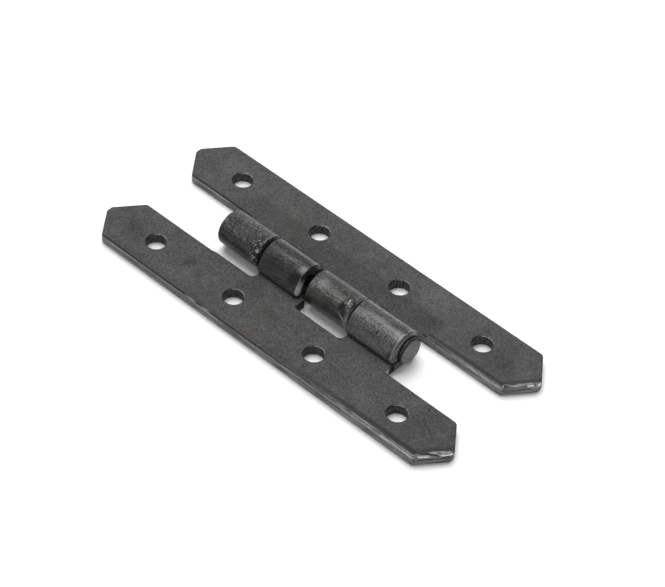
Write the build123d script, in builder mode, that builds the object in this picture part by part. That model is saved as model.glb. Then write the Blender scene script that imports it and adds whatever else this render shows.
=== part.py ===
from build123d import *
import os
from math import acos, atan2, cos, hypot, radians, sin

# H hinge lying open with both backs on Z = 0.
# X runs across the two leaves, and the pin lies along Y with its head at the near end (-Y).

# Strips of the two leaves
strip_length = 101.6        # over the blunt points
strip_width = 14.0
plate = 2.5                 # sheet thickness, which is also the wall of the rolled knuckles
inner_edge = 6.9            # from the pin's centre plane to each strip
point_length = 4.9          # from the shoulders of the pointed end to its blunt tip
tip_width = 1.5
corner_round = 1.2
top_edge_round = 0.5        # hammered upper edges
back_edge_round = 0.4

# Screw holes, one row of four in each leaf
hole_count = 4
hole_pitch = 23.8
hole_radius = 2.3
rim_round = 0.35
left_row_shift = 0.2
right_row_shift = 0.9

# Pin with a flat head at the near end
pin_radius = 1.65
pin_clearance = 0.05
head_radius = 3.2
head_thickness = 0.85
head_gap = 0.05
head_bevel = 0.3
pin_recess = 0.1            # depth of the far end inside the far knuckle
pin_end_bevel = 0.3

# Knuckles from the near end to the far end: left, right, left, right
near_end = -25.85
knuckle_1_length = 13.75
knuckle_2_length = 12.15
knuckle_3_length = 12.1
knuckle_4_length = 12.7
tight_gap = 0.3
wide_gap = 1.55
near_bevel = 0.7            # filed on the near end of every knuckle
far_round = 0.3
open_end_round = 0.8        # the far knuckle's open end is more worn

# Rolled section
seam = 0.15                 # slit between the rolled end and the sheet
tail_reach = 5.4            # how far out the rolled end would come down on the sheet
tail_round = near_bevel + 0.1   # has to be wider than the bevel that runs into it
lap = 0.6                   # overlap of tab and rolled section inside the metal

# Tabs between strip and knuckles, and the slots that clear the other leaf's knuckles
tight_setback = 0.9         # from the middle of a tight gap back to the side of the tab
wide_wall = -0.3            # tab side in the wide gap, from its middle
tab_pass = 0.3              # room in the wide gap for the two tabs to pass each other
tab_inset = 0.35            # inside the ends of the outermost knuckles
slot_corner_round = 1.3
wall_corner_round = 0.5     # the same corner in the wide gap
mouth_edge = 2.6            # square slot edge that stops short of the opposite knuckle's end
mouth_run = 2.2             # length over which the strip's round edge gives way to the square one
ledge = 1.5                 # depth of the square edge into the strip

# Weld beads on the right leaf's knuckles: distance from the near end, angle, radius
bead_height = 0.35          # above the round of the knuckle
middle_beads = [(1.7, 112, 1.3), (2.3, 122, 0.9)]
far_beads = [(1.5, 124, 1.3), (2.2, 138, 1.1), (1.3, 149, 1.0), (2.0, 162, 1.3), (1.4, 178, 1.1)]

tolerance = 0.01            # for picking edges by their size and place

bore_radius = pin_radius + pin_clearance
knuckle_radius = bore_radius + plate
half_length = strip_length / 2
shoulder = half_length - point_length
strip_middle = inner_edge + strip_width / 2

# Knuckle ends along Y, as (near, far)
knuckle_1 = (near_end, near_end + knuckle_1_length)
knuckle_2 = (knuckle_1[1] + tight_gap, knuckle_1[1] + tight_gap + knuckle_2_length)
knuckle_3 = (knuckle_2[1] + wide_gap, knuckle_2[1] + wide_gap + knuckle_3_length)
knuckle_4 = (knuckle_3[1] + tight_gap, knuckle_3[1] + tight_gap + knuckle_4_length)
low_joint = knuckle_1[1] + tight_gap / 2
middle_joint = knuckle_2[1] + wide_gap / 2
high_joint = knuckle_3[1] + tight_gap / 2

# Tabs along Y, as (near, far)
tab_1 = (knuckle_1[0] + tab_inset, low_joint - tight_setback)
tab_2 = (low_joint + tight_setback, middle_joint + wide_wall - tab_pass)
tab_3 = (middle_joint + wide_wall, high_joint - tight_setback)
tab_4 = (high_joint + tight_setback, knuckle_4[1] - tab_inset)

# The rolled end leaves the round of the knuckle at a tangent and comes down on the sheet
tail_drop = knuckle_radius - plate - seam
tail_distance = hypot(tail_reach, tail_drop)
tail_angle = atan2(tail_drop, tail_reach) - acos(knuckle_radius / tail_distance)
tangent_x = knuckle_radius * cos(tail_angle)
tangent_z = knuckle_radius - knuckle_radius * sin(tail_angle)

# Leaf name, side, hole row shift, knuckles, tabs, slot corners with their radius,
# the square slot edge from its tab to its mouth, and the weld beads with their knuckle
leaves = [
    ("left_leaf", -1, left_row_shift, (knuckle_1, knuckle_3), (tab_1, tab_3),
     ((tab_1[1], slot_corner_round), (tab_3[0], wall_corner_round), (tab_3[1], slot_corner_round)),
     (tab_1[0], knuckle_4[1] - mouth_edge, 1), ()),
    ("right_leaf", 1, right_row_shift, (knuckle_2, knuckle_4), (tab_2, tab_4),
     ((tab_2[0], slot_corner_round), (tab_2[1], wall_corner_round), (tab_4[0], slot_corner_round)),
     (tab_4[1], knuckle_1[0] + mouth_edge, -1), ((knuckle_2, middle_beads), (knuckle_4, far_beads))),
]


def strip_outline(side):
    """Points of one strip, seen from above."""
    inner = side * inner_edge
    outer = side * (inner_edge + strip_width)
    tip_in = side * (strip_middle - tip_width / 2)
    tip_out = side * (strip_middle + tip_width / 2)
    far_half = [(inner, shoulder), (tip_in, half_length), (tip_out, half_length), (outer, shoulder)]
    return far_half + [(x, -y) for x, y in reversed(far_half)]


os.makedirs("parts", exist_ok=True)

for name, side, row_shift, knuckles, tabs, corners, square_edge, welds in leaves:
    # Knuckles rolled from the sheet: in under the pin, round it and down on the sheet again
    with BuildPart() as rolls:
        for near, far in knuckles:
            with BuildSketch(Plane.XZ.offset(-far)) as rolled:
                with Locations((0, knuckle_radius)):
                    Circle(knuckle_radius)
                with Locations((side * knuckle_radius / 2, plate / 2)):
                    Rectangle(knuckle_radius, plate)
                with BuildLine():
                    Polyline(
                        (side * tangent_x, tangent_z),
                        (side * tail_reach, plate + seam),
                        (0, plate + seam),
                        (0, knuckle_radius),
                        close=True,
                    )
                make_face()
                with Locations((0, knuckle_radius)):
                    Circle(bore_radius, mode=Mode.SUBTRACT)
                with Locations((side * tail_reach, plate + seam / 2)):
                    Rectangle(2 * tail_reach, seam, mode=Mode.SUBTRACT)
                tail_tip = rolled.vertices().sort_by_distance((side * tail_reach, plate + seam, 0))[0]
                fillet(tail_tip, tail_round)
            extrude(amount=far - near)

        # Filed near ends and rounded far ends
        for near, far in knuckles:
            for end in (near, far):
                rim = [
                    edge for edge in rolls.edges().filter_by(GeomType.CIRCLE)
                    if abs(edge.radius - knuckle_radius) < tolerance
                    and abs(edge.arc_center.Y - end) < tolerance
                ]
                if end == near:
                    chamfer(rim, near_bevel)
                else:
                    fillet(rim, open_end_round if far == knuckle_4[1] else far_round)

    with BuildPart() as leaf:
        # Pointed strip with its corners and long edges softened by the hammer
        with BuildSketch() as strip:
            Polygon(*strip_outline(side), align=None)
            fillet(strip.vertices(), corner_round)
        extrude(amount=plate)
        fillet(leaf.edges().group_by(Axis.Z)[-1], top_edge_round)
        fillet(leaf.edges().group_by(Axis.Z)[0], back_edge_round)

        # Square slot edge and the tabs that carry the knuckles
        with BuildSketch() as tab_sheet:
            edge_tab, edge_mouth, towards = square_edge
            Polygon(
                (side * inner_edge, edge_tab),
                (side * inner_edge, edge_mouth),
                (side * (inner_edge + top_edge_round), edge_mouth + towards * mouth_run),
                (side * (inner_edge + ledge), edge_mouth + towards * mouth_run),
                (side * (inner_edge + ledge), edge_tab),
                align=None,
            )
            tab_root = knuckle_radius - lap
            for near, far in tabs:
                with Locations((side * (tab_root + inner_edge) / 2, (near + far) / 2)):
                    Rectangle(inner_edge - tab_root, far - near)
            for corner, radius in corners:
                fillet(tab_sheet.vertices().sort_by_distance((side * inner_edge, corner, 0))[0], radius)
        extrude(amount=plate)

        add(rolls.part)

        # Screw holes with worn rims
        row = [
            (side * strip_middle, row_shift + (i - (hole_count - 1) / 2) * hole_pitch, plate)
            for i in range(hole_count)
        ]
        with Locations(*row):
            Hole(hole_radius)
        hole_rims = [
            edge for edge in leaf.edges().filter_by(GeomType.CIRCLE)
            if abs(edge.radius - hole_radius) < tolerance
            and abs(edge.arc_center.Z - plate) < tolerance
        ]
        fillet(hole_rims, rim_round)

        # Weld beads
        for (near, _), beads in welds:
            for offset, angle, radius in beads:
                reach = knuckle_radius + bead_height - radius
                x = reach * cos(radians(angle))
                z = knuckle_radius + reach * sin(radians(angle))
                with Locations((x, near + offset, z)):
                    Sphere(radius)

    leaf.part.label = name
    export_step(leaf.part, f"parts/{name}.step")

# Pin, which turns in the left leaf's knuckles and is held in the right leaf's
with BuildPart() as pin:
    head_far = knuckle_1[0] - head_gap
    with BuildSketch(Plane.XZ.offset(-head_far)):
        with Locations((0, knuckle_radius)):
            Circle(head_radius)
    extrude(amount=head_thickness)
    chamfer(pin.edges().group_by(Axis.Y)[0], head_bevel)
    shaft_far = knuckle_4[1] - pin_recess
    with BuildSketch(Plane.XZ.offset(-shaft_far)):
        with Locations((0, knuckle_radius)):
            Circle(pin_radius)
    extrude(amount=shaft_far - head_far)
    chamfer(pin.edges().group_by(Axis.Y)[-1], pin_end_bevel)

pin.part.label = "pin"
export_step(pin.part, "parts/pin.step")
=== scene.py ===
import bpy
import math
from mathutils import Matrix, Vector

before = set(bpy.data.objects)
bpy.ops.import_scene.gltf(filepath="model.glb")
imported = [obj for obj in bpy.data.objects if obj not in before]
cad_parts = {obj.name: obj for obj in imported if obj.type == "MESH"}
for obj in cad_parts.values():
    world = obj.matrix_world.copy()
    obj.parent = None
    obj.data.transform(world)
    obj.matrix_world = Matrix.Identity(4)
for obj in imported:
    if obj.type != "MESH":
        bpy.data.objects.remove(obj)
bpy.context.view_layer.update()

print("frame loaded")

cameraSetup = {
    "azimuth": -49.43,                                       # degrees, 0 looks along +Y
    "elevation": 45.0,
    "roll": 3.667,
    "aim": (0.003921, -0.000528, 0.0),                       # metres
    "distance": 0.59004,
    "lens": 147.09,                                          # mm
    "sensor": 36,
    "nearClip": 0.01,
}


def addCamera(setup):
    azimuth, elevation, roll = (math.radians(setup[key]) for key in ("azimuth", "elevation", "roll"))
    level = math.cos(elevation)
    back = Vector((math.sin(azimuth) * level, -math.cos(azimuth) * level, math.sin(elevation)))
    right = Vector((math.cos(azimuth), math.sin(azimuth), 0))
    up = back.cross(right)
    across = right * math.cos(roll) + up * math.sin(roll)
    upward = up * math.cos(roll) - right * math.sin(roll)
    data = bpy.data.cameras.new("camera")
    data.lens = setup["lens"]
    data.sensor_width = setup["sensor"]
    data.clip_start = setup["nearClip"]
    camera = bpy.data.objects.new("camera", data)
    bpy.context.scene.collection.objects.link(camera)
    turn = Matrix((across, upward, back)).transposed().to_4x4()
    camera.matrix_world = Matrix.Translation(Vector(setup["aim"]) + back * setup["distance"]) @ turn
    bpy.context.scene.camera = camera


addCamera(cameraSetup)
bpy.context.scene.view_settings.view_transform = "Standard"
print("camera placed")


class Wire:                                                  # one output of a node, with arithmetic on it
    def __init__(self, tree, socket=None):
        self.tree, self.socket = tree, socket

    def make(self, kind, settings=None, sockets=None, output=0):   # any node, from its settings and sockets
        node = self.tree.nodes.new("ShaderNode" + kind)
        for key, value in (settings or {}).items():
            setattr(node, key, value)
        for key, value in (sockets or {}).items():
            if isinstance(value, Wire):
                self.tree.links.new(value.socket, node.inputs[key])
            else:
                node.inputs[key].default_value = value
        return Wire(self.tree, node.outputs[output])

    def math(self, operation, *others):
        return self.make("Math", {"operation": operation}, dict(enumerate((self, *others))))

    def vector(self, operation, sockets, output=0):          # vector maths on this, which is socket 0
        return self.make("VectorMath", {"operation": operation}, {0: self, **sockets}, output)

    def __add__(self, other):
        return self.math("ADD", other)

    __radd__ = __add__

    def __mul__(self, other):
        return self.math("MULTIPLY", other)

    __rmul__ = __mul__

    def __sub__(self, other):
        return self.math("SUBTRACT", other)

    def __rsub__(self, other):
        return self * -1 + other

    def low(self, other):
        return self.math("MINIMUM", other)

    def high(self, other):
        return self.math("MAXIMUM", other)

    def size(self):
        return self.math("ABSOLUTE")

    def hypotenuse(self, other):
        return (self * self + other * other).math("SQRT")

    def step(self, low, high):                               # 0 at low, 1 at high, smooth between
        return self.make("MapRange", {"interpolation_type": "SMOOTHSTEP"},
                         {"Value": self, "From Min": low, "From Max": high})

    def bell(self, middle, width):                           # 1 at the middle, 0 past the width
        return (self - middle).size().step(width, 0)

    def within(self, low, high, outside, inside):            # 1 from low to high, with soft ends
        return self.step(low - outside, low + inside) * self.step(high + outside, high - inside)

    def blend(self, first, second):                          # first colour where this is 0, second at 1
        return self.make("Mix", {"data_type": "RGBA"}, {0: self, 6: first, 7: second}, 2)

    def scaled(self, factor):                                # a colour or vector, times a number
        return self.vector("SCALE", {"Scale": factor})

    def axis(self, number):
        return self.make("SeparateXYZ", None, {0: self}, number)

    def axes(self):
        return [self.axis(number) for number in range(3)]

    def around(self, place, radius):                         # 1 at a place, 0 past the radius
        return self.vector("DISTANCE", {1: place}, "Value").step(radius, 0)

    def noise(self, scale, detail=2.0, rough=0.5, stretch=(1, 1, 1), shift=(0, 0, 0), warp=0.0):
        spot = self.vector("MULTIPLY_ADD", {1: stretch, 2: shift})
        return self.make("TexNoise", None, {"Vector": spot, "Scale": scale, "Detail": detail,
                                            "Roughness": rough, "Distortion": warp})


def startMaterial(name):                                     # material, shader, place in mm, normal
    material = bpy.data.materials.new(name)
    material.use_nodes = True
    blank = Wire(material.node_tree)
    mm = blank.make("TexCoord", output="Object").scaled(1000)
    normal = blank.make("TexCoord", output="Normal")
    return material, material.node_tree.nodes["Principled BSDF"], mm, normal


def finishMaterial(shader, height, wires):                   # bump from a height in mm, and the other wires
    bump = height.make("Bump", None, {"Strength": 1.0, "Distance": 0.001, "Height": height})
    for socket, wire in {**wires, "Normal": bump}.items():
        height.tree.links.new(wire.socket, shader.inputs[socket])


def grey(level, warm=0.0):                                   # screen level 0 to 255 as a linear colour
    linear = ((level / 255 + 0.055) / 1.055) ** 2.4
    return (linear * (1 + warm), linear, linear * (1 - warm), 1)


leafShape = {                                                # mm, as in the CAD solids
    "top": 2.5, "stripMiddle": 13.9, "halfWidth": 7, "halfLength": 50.8, "shoulder": 45.9,
    "tipFacing": (0.617, 0.787),                             # across and along, at the near tip's slant
    "holePitch": 23.8, "barrelHeight": 4.2, "barrelRadius": 4.2,
}

# Rows of the two leaves, in mm and in degrees up from +X round the barrel:
# groove, a groove with painted shade in it: place, spread; crease, painted shade along the crease: level,
# softness, depth
# joints: from y, to y, where a tab takes the edge's place; shades: x where full, x where it ends, depth
# clouds (tone, and painted shade beside the barrel), stains: x, y, radius, strength
# chips: y, reach; walls (painted shade on tab walls): y, colour, strength; patches (painted): y, inner x,
# colour
# matt: from, to, strength; smudges, shines: y, degrees, radius, strength
# cut: place, softness; bevel, painted by angle: degrees where the first grey level turns to the second
# marks (scratches, streaks, painted highlight bands): y, degrees, half length, half width, slant, grey
# level, strength

leftDetail = {
    "seed": 11.0, "row": 0.2, "lift": 1.12,
    "bevelEdge": -20.9, "bevelNear": 0.65, "bevelFar": 0.08,
    "groove": (0.95, 1.1), "crease": (1.3, 0.38, 0.85), "joints": [], "shades": [],
    # the first cloud, dark beside the barrel, is painted shade of the barrel; the others are tone
    "clouds": [(-9.5, 10.0, 6.0, -0.4), (-12.0, -41.0, 5.0, -0.35), (-9.5, -35.0, 4.5, 0.3),
               (-16.0, -26.0, 6.0, 0.15), (-13.4, 42.2, 4.8, -0.5), (-13.4, 26.3, 2.0, -0.6)],
    "stains": [(-13.6, 2.7, 3.2, 0.7), (-18.4, 2.4, 3.2, 0.6), (-9.5, -16.0, 3.0, 0.4)],
    "chips": [(18.0, 2.6), (13.5, 2.2), (-37.4, 1.6)],
    # painted shade on the near walls of two tabs, and below a painted reflection of the floor
    "walls": [(0.83, grey(20), 0.95), (-25.5, grey(40), 0.85)],
    "patches": [(-25.5, -5.5, grey(200, 0.03))],
    "knuckles": [
        {"near": -25.85, "far": -12.1, "tone": 0.55, "crown": 0.05, "belly": 0.85, "grain": 2.2,
         "brown": 0.1, "specks": 0.25, "coat": 0.55, "rough": 0.34, "matt": (150, 260, 0.1),
         "cut": (0.71, 0.05), "bevel": (120, 200, 82, 90), "lines": 0.8, "rim": 0.75, "line": 0.4,
         "gap": 0.0, "face": 62,
         "smudges": [(-24.6, 182, 1.7, 1.8), (-13.2, 170, 1.6, 0.5), (-19.5, 73, 0.5, 1.6),
                     (-19.6, 139, 0.5, 1.6)],
         "shines": [(-24.2, 109, 1.7, 0.4)],
         # the first mark, long and pale along the crest, is a painted highlight; the rest are scratches and
         # streaks
         "marks": [(-19.2, 102, 7.5, 1.0, 0, 128, 0.6), (-16.2, 106, 0.8, 0.1, 40, 36, 0.8),
                   (-16.9, 110, 0.9, 0.09, 36, 40, 0.8), (-17.2, 107, 0.7, 0.08, 44, 150, 0.8),
                   (-17.7, 113, 0.9, 0.1, 38, 34, 0.8), (-18.2, 110, 0.8, 0.08, 42, 160, 0.8),
                   (-18.6, 115, 1.0, 0.1, 35, 38, 0.8), (-19.2, 112, 0.7, 0.09, 40, 44, 0.8),
                   (-14.6, 132, 2.2, 0.09, 6, 56, 0.8), (-21.0, 98, 2.0, 0.07, 4, 60, 0.8),
                   (-20.4, 124, 1.8, 0.08, -5, 60, 0.8), (-18.0, 150, 2.6, 0.08, 4, 60, 0.8),
                   (-25.0, 176, 0.9, 0.14, 70, 160, 0.8), (-24.7, 168, 0.8, 0.12, 64, 22, 0.8),
                   (-25.1, 186, 0.9, 0.12, 75, 22, 0.8)]},
        {"near": 1.9, "far": 14.0, "tone": 0.34, "crown": -0.1, "belly": -0.1, "grain": 2.5,
         "brown": 0.7, "specks": 0.35, "coat": 0.6, "rough": 0.3, "matt": (109, 260, 0.7),
         "cut": (0.85, 0.3), "bevel": (130, 178, 24, 190), "lines": 0.0, "rim": 0.2, "line": 0.0,
         "gap": 0.0, "face": 16,
         "smudges": [(3.8, 147, 1.9, 2.4), (4.6, 156, 1.8, 1.4), (6.6, 122, 1.6, 0.6),
                     (11.0, 150, 2.5, 0.3)],
         "shines": [(3.4, 112, 1.5, 0.5)],
         "marks": [(8.0, 63, 6.5, 1.1, 0, 26, 0.75), (9.0, 136, 2.6, 0.12, 5, 96, 0.8),
                   (7.2, 128, 2.0, 0.1, -3, 104, 0.8), (5.6, 143, 1.6, 0.12, 10, 30, 0.8),
                   (8.2, 168, 3.2, 0.16, 2, 90, 0.8), (10.4, 118, 1.8, 0.09, 4, 40, 0.8)]},
    ],
}

rightDetail = {
    "seed": 53.0, "row": 0.9, "lift": 1.22,
    "bevelEdge": 6.9, "bevelNear": 0.4, "bevelFar": 0.08,
    "groove": (0.75, 0.95), "crease": (1.05, 0.4, 0.3),
    "joints": [(-25.0, 27.0)], "shades": [(12.2, 13.6, 0.24)],
    "clouds": [(10.5, 30.0, 5.5, -0.4), (12.0, -41.5, 6.0, -0.35), (17.5, -19.0, 6.5, 0.35),
               (10.0, -22.0, 5.0, -0.25), (16.0, 40.0, 6.0, 0.15), (9.5, 8.0, 4.0, -0.15)],
    "stains": [(12.5, 17.5, 4.5, 0.5), (16.0, 2.0, 5.0, 0.35), (9.5, -6.0, 4.0, 0.35)],
    "chips": [],
    "walls": [(-11.05, grey(30), 0.8)],
    "patches": [],
    "knuckles": [
        {"near": -11.8, "far": 0.35, "tone": 0.3, "crown": 0.3, "belly": 0.7, "grain": 1.9,
         "brown": 0.45, "specks": 0.5, "coat": 0.36, "rough": 0.42, "matt": (136, 260, 0.3),
         "cut": (0.71, 0.2), "bevel": (142, 170, 112, 170), "lines": 0.0, "rim": 0.15, "line": 0.0,
         "gap": 1.0, "face": 16,
         "smudges": [(-9.2, 136, 1.3, 1.6), (-6.0, 165, 2.6, 0.4), (-10.4, 150, 1.3, 1.4)],
         "shines": [(-2.4, 105, 2.2, 0.3)],
         "marks": [(-9.5, 178, 2.0, 0.24, 152, 8, 1.0), (-11.3, 172, 0.9, 0.22, 150, 10, 1.0),
                   (-10.0, 172, 2.3, 0.18, 152, 10, 1.0), (-10.4, 165, 1.9, 0.17, 152, 205, 0.9),
                   (-10.9, 181, 1.4, 0.18, 150, 190, 0.9), (-5.4, 126, 2.4, 0.1, 4, 52, 0.8),
                   (-3.0, 140, 2.0, 0.12, -3, 100, 0.8)]},
        {"near": 14.3, "far": 27.0, "tone": 0.44, "crown": 0.35, "belly": 0.35, "grain": 2.9,
         "brown": 0.15, "specks": 0.3, "coat": 0.35, "rough": 0.55, "matt": (93, 260, 0.3),
         "cut": (0.5, 0.1), "bevel": (120, 160, 24, 34), "lines": 0.0, "rim": 0.5, "line": 0.0,
         "gap": 0.8, "face": 16,
         "smudges": [(15.4, 165, 2.0, 0.7), (24.5, 172, 2.2, 0.3)],
         "shines": [(26.2, 118, 0.7, 0.5), (22.7, 132, 0.3, 0.6), (26.5, 128, 0.3, 0.6)],
         "marks": [(26.0, 138, 3.0, 0.13, 90, 26, 0.8), (20.6, 118, 2.6, 0.1, 3, 46, 0.8),
                   (18.4, 104, 2.0, 0.08, -4, 50, 0.8), (22.0, 150, 2.4, 0.12, 5, 42, 0.8)]},
    ],
}

stripLook = {
    "dark": grey(64), "light": grey(94), "stain": grey(70, 0.28), "grain": 1.45, "roughness": 0.5,
    "cloudScale": 0.11, "patchScale": 0.8, "grainScale": 3.4,   # noise cells per mm
    "cloudShare": 0.3, "patchShare": 0.35, "lowest": 0.17,
    "shadeNear": (-27.0, -24.0), "shadeFar": (30.0, 26.0),      # y where the painted shade of the barrel fades in and out
}


def flatFinish(look, detail, mm):                            # waxed black of the strips
    seed = detail["seed"]
    cloud = mm.noise(look["cloudScale"], 3, 0.55, shift=(seed, 0, 0), warp=1.2)
    patch = mm.noise(look["patchScale"], 4, 0.65, shift=(0, seed, 0))
    grain = mm.noise(look["grainScale"], 2, 0.7, shift=(seed, seed, 0))
    tone = cloud.step(0.3, 0.7) * look["cloudShare"] + patch.step(0.25, 0.75) * look["patchShare"]
    tone = tone + look["lowest"]
    for across, along, radius, strength in detail["clouds"]:
        tone = tone + mm.around((across, along, leafShape["top"]), radius) * (patch * 0.6 + 0.4) * strength
    colour = tone.blend(look["dark"], look["light"])
    colour = colour.scaled(grain.step(0.2, 0.8) * look["grain"] + (detail["lift"] - look["grain"] / 2))
    for full, end, depth in detail["shades"]:                # painted shade of the barrel: the strip darker next to it
        beside = mm.axis(1).step(*look["shadeNear"]) * mm.axis(1).step(*look["shadeFar"])
        colour = colour.scaled(1 - mm.axis(0).step(end, full) * beside * depth)
    for across, along, radius, strength in detail["stains"]:
        stain = mm.around((across, along, leafShape["top"]), radius) * patch.step(0.42, 0.6) * strength
        colour = stain.blend(colour, look["stain"])
    height = mm.noise(0.3, 2, 0.5, shift=(seed, 7, 0)) * 0.14 + patch * 0.04 + grain * 0.012
    roughness = look["roughness"] + patch * 0.2 - 0.1 + grain * 0.16 - 0.08
    return colour, height, roughness


edgeLook = {
    "worn": grey(172), "facet": grey(228), "dent": grey(22), "groove": grey(46), "outline": grey(34),
    "side": grey(134), "sideDark": grey(72), "crease": grey(24), "foot": grey(52), "chip": grey(215),
    "wander": 0.7, "leastWidth": 0.08, "tipWidth": 0.4,      # mm of the worn bevel with its painted highlight
    "widening": (4.0, -44.0),                                # y where it starts to widen and is widest
    "wornFrom": (1.35, 1.6), "grooveFrom": (2.3, 2.45), "outlineFrom": (1.5, 1.8), "chipFrom": (2.15, 2.3),
    "footBelow": (0.4, 0.1),                                 # heights in mm, as the ones above
    "besideBarrel": (8.5, 9.0), "pastBarrel": (26.5, 27.5),  # x and y where the painted shade of the outline comes in
}


def forgedEdge(look, detail, mm, normal, finish):            # worn bevel with a painted highlight, groove and crease with painted shade, streaky side; they face -X
    colour, height, roughness = finish
    x, y, z = mm.axes()
    seed = detail["seed"]
    across, along = leafShape["tipFacing"]
    fromSide = x - detail["bevelEdge"]
    fromTip = fromSide * across + (y + leafShape["shoulder"]) * along
    inward = fromSide.low(fromTip)
    atTip = (fromSide - fromTip).step(0.0, 0.6)
    nearness = y.step(*look["widening"])
    wobble = mm.noise(0.35, 2, 0.5, shift=(3, seed, 0)) - 0.5
    width = nearness * (detail["bevelNear"] - detail["bevelFar"]) + detail["bevelFar"]
    width = width + wobble * look["wander"] * (nearness + 0.1)
    width = width.high(look["leastWidth"]) + atTip * look["tipWidth"]
    run = y * (1 - atTip) * -1 + (x * along - y * across) * atTip
    band = mm.make("CombineXYZ", None, {0: run, 1: inward, 2: z})
    left = normal.axis(0).step(0.35, 0.1) * normal.axis(2).step(-0.2, 0.1)
    joined = 1.0
    for near, far in detail["joints"]:
        joined = joined - y.within(near, far, 0.3, 0.2)

    # bevel facing -X, brighter towards the near end: worn bare metal with a painted highlight
    worn = inward.step(width + 0.15, width - 0.1) * z.step(*look["wornFrom"]) * left * joined
    flare = band.noise(1.5, 3, 0.65, stretch=(0.22, 1.3, 1.2), shift=(seed, 3, 1)).step(0.4, 0.58)
    colour = (worn * (flare * 0.6 + 0.3) * (nearness * 0.9 + 0.06)).blend(colour, look["worn"])
    crumple = band.noise(0.7, 2, 0.5, stretch=(0.4, 1.5, 1.2), shift=(9, seed, 4), warp=0.8)
    crumple = crumple.step(0.46, 0.55)
    # crumpled tip: painted highlights on its facets, painted shade in its dents
    colour = (worn * atTip * crumple * 0.9).blend(colour, look["facet"])
    colour = (worn * atTip * (1 - crumple) * 0.6).blend(colour, look["dent"])
    # painted shade: a dark line in the groove at the top of the bevel
    offset, spread = detail["groove"]
    groove = (inward - width + atTip * look["tipWidth"] + wobble * 0.8).bell(offset, spread)
    groove = groove * z.step(*look["grooveFrom"]) * joined * (nearness * 0.8 + 0.2) * (1 - atTip * 0.3)
    colour = (groove * 0.8).blend(colour, look["groove"])

    reach = y.size()                                         # painted shade: thin dark outline of the strip's free edges
    margin = leafShape["halfWidth"] - (x.size() - leafShape["stripMiddle"]).size()
    outline = margin.low(margin * across + (leafShape["shoulder"] - reach) * along)
    byBevel = inward.step(0.6, 0.4)
    outline = outline.low(leafShape["halfLength"] - reach).step(0.5, 0.15) * (1 - byBevel * nearness)
    free = (x.size().step(*look["besideBarrel"]) + reach.step(*look["pastBarrel"])).low(1)
    outline = outline * free * z.step(*look["outlineFrom"]) * (byBevel * 0.5 + 0.35)
    colour = outline.blend(colour, look["outline"])

    flank = normal.axis(2).step(0.35, 0.1) * normal.axis(2).step(-0.5, -0.2) * inward.step(0.35, 0.15)
    streak = band.noise(1.2, 4, 0.65, stretch=(0.1, 0.5, 1.3), shift=(seed, 0, seed))
    colour = (flank * 0.95).blend(colour, streak.step(0.36, 0.62).blend(look["sideDark"], look["side"]))
    # painted shade: a dark line along the crease where the side turns into the bevel
    level, soft, depth = detail["crease"]
    crease = (z + (streak - 0.5) * 0.5).bell(level, soft) * inward.step(0.6, 0.3) * left * joined
    crease = crease * (1 - nearness * 0.8) * depth
    colour = crease.blend(colour, look["crease"])
    # painted shade: the foot of the side darker where it meets the floor
    colour = (z.step(*look["footBelow"]) * inward.step(0.5, 0.3) * 0.7).blend(colour, look["foot"])
    for place, length in detail["chips"]:
        chip = y.bell(place, length) * inward.step(0.22, 0.1) * z.step(*look["chipFrom"]) * left * flare
        colour = (chip * 0.7).blend(colour, look["chip"])

    height = height - worn * (width - inward).high(0) * 0.5 - groove * 0.12 - crease * 0.12
    height = height + flank * streak * 0.25 + worn * wobble * 0.4 + worn * atTip * crumple * 0.4
    return (colour, height, roughness - worn * 0.16), worn


holeLook = {
    "wall": grey(40), "wallLight": grey(122, -0.09), "ring": grey(22), "rim": grey(170),
    "bore": (2.42, 2.34), "ringBand": (2.38, 0.2), "rimOut": (2.75, 2.65), "rimIn": (2.25, 2.32),
}


def holeWalls(look, detail, mm, normal, finish):             # bores painted dark as shade, with pale painted highlights on the scale, a ring of painted shade round each and a painted highlight on the rim
    colour, height, roughness = finish
    x, y, z = mm.axes()
    pitch = leafShape["holePitch"]
    across = x.size() - leafShape["stripMiddle"]
    along = (y - detail["row"]).math("FLOORED_MODULO", pitch) - pitch / 2
    fromHole = across.hypotenuse(along)
    scale = mm.noise(2.0, 3, 0.65, shift=(detail["seed"], 1, 2))
    inHole = fromHole.step(*look["bore"]) * z.step(2.45, 2.3)
    # bore walls: painted shade in the hole, mottled with pale blue-grey painted highlights
    colour = (inHole * 0.9).blend(colour, scale.step(0.4, 0.6).blend(look["wall"], look["wallLight"]))
    # painted shade: a thin dark ring where the rim turns into the bore
    colour = (fromHole.bell(*look["ringBand"]) * 0.9).blend(colour, look["ring"])
    # painted highlight on the rounded rim where it faces -X and up
    rim = normal.axis(0).step(-0.25, -0.6) * normal.axis(2).step(0.15, 0.4)
    rim = rim * fromHole.step(*look["rimOut"]) * fromHole.step(*look["rimIn"])
    colour = (rim * scale.step(0.3, 0.6) * 0.8).blend(colour, look["rim"])
    return (colour, height + inHole * scale * 0.25, roughness), inHole


tabLook = {
    "below": (2.6, 2.5), "within": (7.4, 7.2), "depth": (0.4, 0.3),   # mm: height, x, and y from the wall
    "patchBelow": (2.4, 1.9), "patchStrength": 0.75,
}


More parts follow.
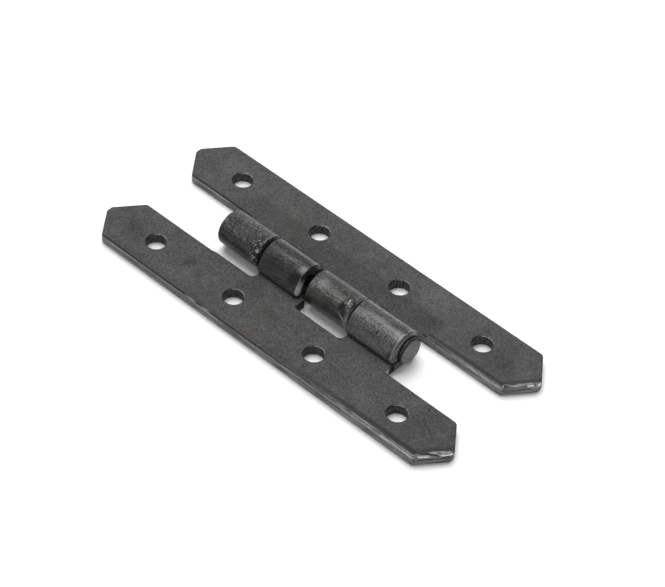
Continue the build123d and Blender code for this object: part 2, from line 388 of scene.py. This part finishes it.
def tabWalls(look, detail, mm, normal, finish):              # near sides of the tabs: painted shade on some, and a painted reflection of the pale floor low on one
    colour, height, roughness = finish
    x, y, z = mm.axes()
    facing = normal.axis(1).step(-0.8, -0.95) * z.step(*look["below"]) * x.size().step(*look["within"])
    for place, tint, strength in detail["walls"]:
        colour = (facing * (y - place).size().step(*look["depth"]) * strength).blend(colour, tint)
    for place, inner, tint in detail["patches"]:             # painted reflection of the pale floor, low on a wall
        pale = facing * (y - place).size().step(*look["depth"]) * x.step(inner + 0.3, inner - 0.1)
        colour = (pale * z.step(*look["patchBelow"]) * look["patchStrength"]).blend(colour, tint)
    return colour, height, roughness


barrelLook = {
    "dark": grey(46), "light": grey(98), "brown": grey(70, 0.28), "matt": grey(34), "shine": grey(165),
    "smudge": grey(22), "speck": grey(200), "pit": grey(26), "rim": grey(185), "rimShade": grey(34),
    "filed": grey(172), "line": grey(24), "gap": grey(8),
    "perDegree": 0.0733, "scratchWidth": 0.3,                # mm round the barrel, and a scratch's widest
    "perRadian": 57.296, "skin": (4.95, 4.85), "foot": (2.55, 2.62),
    "crown": (103, 82), "belly": (131, 19), "brownFrom": (100, 130),            # degrees round the barrel
    "specksFrom": (80, 96), "specksTo": (142, 118), "mattSoft": (6, 2),
    "rimBand": (0.95, 0.25), "shadeBand": (1.4, 0.2), "lineBand": (0.74, 0.12), "gapBand": (0.3, 0.05),
    "cutDepth": (-0.3, 0.6), "linesPerMm": 2.6,              # mm from the knuckle's near end, as the bands
}


def onBarrel(y, angle):                                      # a place on the barrel, angle up from +X
    radius, turn = leafShape["barrelRadius"], math.radians(angle)
    return (radius * math.cos(turn), y, leafShape["barrelHeight"] + radius * math.sin(turn))


def knuckleMarks(look, knuckle, mm, unrolled, skin):         # scratches, streaks and painted highlight bands, on the unrolled skin
    scored = 0.0
    for place, turn, half, width, slant, tint, strength in knuckle["marks"]:
        spot = mm.make("Mapping", {"vector_type": "TEXTURE"}, {
            "Vector": unrolled, "Location": (place, turn * look["perDegree"], 0),
            "Rotation": (0, 0, math.radians(slant)), "Scale": (half, width, 1)})
        mark = spot.vector("LENGTH", {}, "Value").step(1, 0.3)
        skin = (mark * strength).blend(skin, grey(tint))
        if width < look["scratchWidth"]:
            scored = mark + scored
    return skin, scored


def filedEnd(look, knuckle, along, angle, noises, skin):     # near bevel lit and shaded by its angle, painted highlight on the rim, painted shade behind it and in the gap
    drawn, blotch, grain = noises
    # painted highlight: a light line along the rim
    rim = along.bell(*look["rimBand"]) * blotch.step(0.35, 0.5) * knuckle["rim"]
    skin = (rim * 0.7).blend(skin, look["rim"])
    # painted shade: a dark band behind the rim
    behind = along.bell(*look["shadeBand"]) * blotch.step(0.4, 0.55) * knuckle["rim"]
    skin = (behind * 0.6).blend(skin, look["rimShade"])
    start, end, above, below = knuckle["bevel"]
    lines = (along * look["linesPerMm"] + drawn * 1.5).math("FRACT").bell(0.5, 0.3) * knuckle["lines"]
    # painted light and shade: the bevel's grey set by its angle round the barrel
    cut = angle.step(start, end).blend(grey(above), grey(below))
    cut = lines.blend(cut, look["filed"]).scaled(grain.step(0.2, 0.8) + 0.5)
    edge, soft = knuckle["cut"]
    # painted shade: the bevel darker towards the knuckle's end
    cut = cut.scaled(along.step(*look["cutDepth"]) * 0.7 + 0.45)
    skin = (along.step(edge + soft, edge - soft) * 0.94).blend(skin, cut)
    skin = (along.bell(*look["lineBand"]) * knuckle["line"]).blend(skin, look["line"])
    # painted shade in the gap between knuckles
    return (along.step(*look["gapBand"]) * knuckle["gap"]).blend(skin, look["gap"])


def rolledKnuckle(look, detail, knuckle, mm, normal, finish, coat):   # scaly rolled skin of one knuckle
    colour, height, roughness = finish
    x, y, z = mm.axes()
    rise = z - leafShape["barrelHeight"]
    angle = 180 - rise.math("ARCTAN2", x * -1) * look["perRadian"]
    seed = knuckle["near"] + detail["seed"]
    here = y.within(knuckle["near"], knuckle["far"], 0.2, -0.1)
    here = here * x.hypotenuse(rise).step(*look["skin"]) * z.step(*look["foot"])

    drawn = mm.noise(1.5, 4, 0.65, stretch=(1, 0.16, 1), shift=(0, seed, 5))
    blotch = mm.noise(0.6, 4, 0.65, stretch=(1, 0.6, 1), shift=(seed, 1, 0))
    grain = mm.noise(3.2, 2, 0.7, stretch=(1, 0.7, 1), shift=(4, seed, 0))
    tone = drawn.step(0.3, 0.7) * 0.5 + blotch.step(0.3, 0.7) * 0.5 + knuckle["tone"] - 0.5
    # painted light: lighter from the crown round to +X, and a painted highlight widening the sheen round the
    # belly
    tone = tone + angle.step(*look["crown"]) * knuckle["crown"]
    tone = tone + angle.bell(*look["belly"]) * knuckle["belly"]
    skin = tone.blend(look["dark"], look["light"])
    browned = blotch.step(0.45, 0.6) * angle.step(*look["brownFrom"]) * knuckle["brown"]
    skin = browned.blend(skin, look["brown"])
    skin = skin.scaled(((grain.step(0.2, 0.8) - 0.5) * knuckle["grain"] + 1).high(0.15))
    # darker, duller band down the lower side: dull scale, and painted shade away from the light
    low, high, strength = knuckle["matt"]
    matt = angle.within(low, high, *look["mattSoft"]) * strength
    skin = (matt * (blotch * 0.8 + 0.3)).blend(skin, look["matt"])
    # pale spots: painted highlights on the crest, partly bright worn metal
    for place, turn, radius, strength in knuckle["shines"]:
        skin = (mm.around(onBarrel(place, turn), radius) * strength).blend(skin, look["shine"])
    # darker spots round given places on the skin
    for place, turn, radius, strength in knuckle["smudges"]:
        smudge = mm.around(onBarrel(place, turn), radius) * (grain + 0.5) * strength
        skin = smudge.blend(skin, look["smudge"])
    # bright specks only in the lit band round the crest: painted glints
    specks = angle.step(*look["specksFrom"]) * angle.step(*look["specksTo"])
    specks = grain.step(0.58, 0.66) * specks * blotch.step(0.38, 0.5)
    skin = (specks * knuckle["specks"] * 0.7).blend(skin, look["speck"])
    pits = grain.step(0.38, 0.31) * knuckle["specks"]
    skin = (pits * 0.7).blend(skin, look["pit"])

    unrolled = mm.make("CombineXYZ", None, {0: y, 1: angle * look["perDegree"] + (drawn - 0.5) * 0.3})
    skin, scored = knuckleMarks(look, knuckle, mm, unrolled, skin)
    skin = filedEnd(look, knuckle, y - knuckle["near"], angle, (drawn, blotch, grain), skin)
    # painted shade: the flat end faces darkened, as in the gaps between knuckles
    endFace = normal.axis(1).size().step(0.85, 0.97)
    skin = (endFace * 0.9).blend(skin, grey(knuckle["face"]))

    ownHeight = drawn * 0.08 + blotch * 0.12 + grain * 0.03 - pits * 0.05 + specks * 0.03 - scored * 0.1
    ownRough = grain * 0.2 - 0.1 + drawn * 0.2 - 0.1 + matt * 0.3 + knuckle["rough"]
    height = height * (1 - here) + ownHeight * here
    roughness = roughness * (1 - here) + ownRough * here
    return (here.blend(colour, skin), height, roughness), coat + here * (1 - matt) * knuckle["coat"]


weldLook = {
    "beads": [((16.0, 124), 1.3), ((16.5, 138), 1.2), ((15.7, 149), 1.2), ((16.3, 163), 1.4),
              ((15.7, 178), 1.3), ((-10.1, 113), 1.3), ((-9.5, 122), 1.0)],   # y and degrees, radius
    "nugget": ((-10.2, 115), 1.9),
    "rustSpots": [((16.2, 184), 1.0, 0.8), ((16.0, 172), 0.8, 0.4)],          # with strength
    "dark": grey(26), "ring": grey(20), "bright": grey(186, 0.02), "rust": (0.17, 0.075, 0.04, 1),
}


def weldMetal(look, mm, finish):                             # lumpy weld with dark scale, flecks and rust
    colour, height, roughness = finish
    lumps = mm.noise(1.0, 3, 0.6, shift=(5, 0, 2), warp=1.2)
    flecks = mm.noise(1.3, 3, 0.65, shift=(8, 3, 2), warp=1.0)
    beads = [mm.around(onBarrel(*place), radius) for place, radius in look["beads"]]
    weld = beads[0]
    for bead in beads[1:]:
        weld = weld.high(bead)
    weld = weld.step(0.02, 0.3)
    colour = (weld * (lumps.step(0.6, 0.44) * 0.5 + 0.45)).blend(colour, look["dark"])
    place, radius = look["nugget"]
    nugget = mm.around(onBarrel(*place), radius)
    colour = (nugget.bell(0.32, 0.2) * lumps.step(0.35, 0.5)).blend(colour, look["ring"])
    nugget = nugget.step(0.38, 0.56)
    pale = weld * flecks.step(0.54, 0.58) * (1 - nugget) + nugget * flecks.step(0.4, 0.58)
    colour = (pale * 0.78).blend(colour, look["bright"])
    for place, radius, strength in look["rustSpots"]:
        spot = mm.around(onBarrel(*place), radius).step(0.1, 0.6)
        colour = (spot * lumps.step(0.4, 0.6) * strength).blend(colour, look["rust"])
    return colour, height + weld * (lumps * 0.5 + flecks * 0.12), roughness + weld * 0.1


steelLook = {"metallic": 0.45, "wornMetallic": 0.3, "holeMetallic": -0.2, "coatRoughness": 0.28}


def leafSteel(name, look, detail, welded):                   # the whole finish of one leaf
    material, shader, mm, normal = startMaterial(name)
    finish = flatFinish(stripLook, detail, mm)
    finish, worn = forgedEdge(edgeLook, detail, mm, normal, finish)
    finish, inHole = holeWalls(holeLook, detail, mm, normal, finish)
    finish = tabWalls(tabLook, detail, mm, normal, finish)
    coat = 0.0                                               # oily shine, on the knuckles alone
    for knuckle in detail["knuckles"]:
        finish, coat = rolledKnuckle(barrelLook, detail, knuckle, mm, normal, finish, coat)
    if welded:
        finish = weldMetal(weldLook, mm, finish)
    colour, height, roughness = finish
    metallic = worn * look["wornMetallic"] + look["metallic"] + inHole * look["holeMetallic"]
    shader.inputs["Coat Roughness"].default_value = look["coatRoughness"]
    finishMaterial(shader, height, {"Base Color": colour, "Roughness": roughness, "Metallic": metallic,
                                    "Coat Weight": coat})
    return material


def dress(node, material):                                   # one material over the whole node
    node.data.materials.clear()
    node.data.materials.append(material)


dress(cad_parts["left_leaf"], leafSteel("left_leaf_black_steel", steelLook, leftDetail, False))
dress(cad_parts["right_leaf"], leafSteel("right_leaf_black_steel", steelLook, rightDetail, True))
print("leaves finished")

pinLook = {
    "face": grey(98), "dark": grey(74), "cut": grey(135), "shadow": grey(20),
    "sawMarks": 2.6, "sawSlant": (0.75, 0.66), "roughness": 0.4, "metallic": 0.5,
    "headEnd": -26.75, "headRadius": 3.2,                    # mm, as in the CAD solid
}


def pinSteel(name, look):                                    # sawn end face, dark round its edge
    material, shader, mm, normal = startMaterial(name)
    x, y, z = mm.axes()
    fromPin = x.hypotenuse(z - leafShape["barrelHeight"])
    facing = normal.axis(1).step(-0.8, -0.97)
    across, upward = look["sawSlant"]
    saw = (x * across + z * upward) * look["sawMarks"]
    cut = mm.make("TexNoise", {"noise_dimensions": "1D"},
                  {"W": saw, "Scale": 1.0, "Detail": 3.0, "Roughness": 0.7})
    patch = mm.noise(0.8, 3, 0.6)
    grain = mm.noise(3.0, 3, 0.7)
    colour = (patch * 0.6 + grain * 0.4).step(0.3, 0.7).blend(look["dark"], look["face"])
    colour = (facing * cut.step(0.45, 0.7) * 0.55).blend(colour, look["cut"])
    colour = (fromPin.bell(look["headRadius"] - 0.1, 0.3) * 0.7).blend(colour, look["shadow"])
    behind = y.step(look["headEnd"] + 0.55, look["headEnd"] + 0.75)
    colour = (behind * 0.9).blend(colour, look["shadow"])
    height = cut * facing * 0.1 + patch * 0.05 + grain * 0.012
    roughness = look["roughness"] + grain * 0.12 - 0.06
    metallic = patch * 0.2 + look["metallic"] - 0.1
    finishMaterial(shader, height, {"Base Color": colour, "Roughness": roughness, "Metallic": metallic})
    return material


dress(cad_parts["pin"], pinSteel("pin_sawn_steel", pinLook))
print("pin finished")

studio = {
    "floorColour": 0.86, "floorSeen": 1.08, "floorSize": 6.0, "floorDrop": 0.00003,
    "ambient": 0.33, "ceiling": 0.3, "horizon": 1.15, "horizonBand": (0.22, 0.0),
    "behindCamera": 0.4, "behindBand": (-0.5, 0.15),
    "softbox": {"way": (-0.13, 0.46, 0.88), "edge": (0.48, 0.18), "strength": 2.1},   # in reflections
    "key": {"place": (0.26, 0.32, 0.80), "size": (0.9, 0.9), "power": 9.6},
    "fill": {"place": (-0.75, -0.35, 0.55), "size": (0.7, 0.7), "power": 1.2},
}


def seenRays(blank):                                         # camera rays, then mirrored and refracted ones
    camera, glossy, clear = (blank.make("LightPath", output="Is " + kind + " Ray")
                             for kind in ("Camera", "Glossy", "Transmission"))
    return camera, glossy.high(clear)


def addFloor(setup):
    bpy.ops.object.select_all(action="DESELECT")
    bpy.ops.mesh.primitive_plane_add(size=setup["floorSize"], location=(0, 0, -setup["floorDrop"]))
    floor = bpy.context.active_object
    floor.name = "floor"
    bpy.ops.object.transform_apply(location=True, rotation=True, scale=True)
    material = bpy.data.materials.new("floor_white")
    material.use_nodes = True
    tree = material.node_tree
    tree.nodes.clear()
    camera, mirrored = seenRays(Wire(tree))
    level = camera.high(mirrored) * (setup["floorSeen"] - setup["floorColour"]) + setup["floorColour"]
    paint = level.make("BsdfDiffuse", None, {"Color": level})
    out = tree.nodes.new("ShaderNodeOutputMaterial")
    tree.links.new(paint.socket, out.inputs["Surface"])
    floor.data.materials.append(material)


def addSoftbox(name, setup):
    data = bpy.data.lights.new(name, "AREA")
    data.shape = "RECTANGLE"
    data.size, data.size_y = setup["size"]
    data.energy = setup["power"]
    lamp = bpy.data.objects.new(name, data)
    lamp.visible_glossy = False
    lamp.location = setup["place"]
    lamp.rotation_euler = (-Vector(setup["place"])).to_track_quat("-Z", "Y").to_euler()
    bpy.context.scene.collection.objects.link(lamp)


def addWorld(setup):                                         # white to the camera, a dim room in reflections
    world = bpy.data.worlds.new("studio")
    world.use_nodes = True
    bpy.context.scene.world = world
    background = world.node_tree.nodes["Background"]
    blank = Wire(world.node_tree)
    camera, mirrored = seenRays(blank)
    way = blank.make("TexCoord", output="Generated")
    room = way.axis(2).step(*setup["horizonBand"]) * (setup["horizon"] - setup["ceiling"])
    room = room + setup["ceiling"]
    front = way.axis(1).step(*setup["behindBand"]) * (1 - setup["behindCamera"]) + setup["behindCamera"]
    box = setup["softbox"]
    glow = way.vector("DISTANCE", {1: box["way"]}, "Value").step(*box["edge"])
    room = room * front + glow * box["strength"]
    strength = (mirrored * room).high(camera)
    strength = strength.high((1 - mirrored.high(camera)) * setup["ambient"])
    world.node_tree.links.new(strength.socket, background.inputs["Strength"])
    background.inputs["Color"].default_value = (1, 1, 1, 1)


addFloor(studio)
addSoftbox("key_softbox", studio["key"])
addSoftbox("fill_softbox", studio["fill"])
addWorld(studio)
print("studio lit")
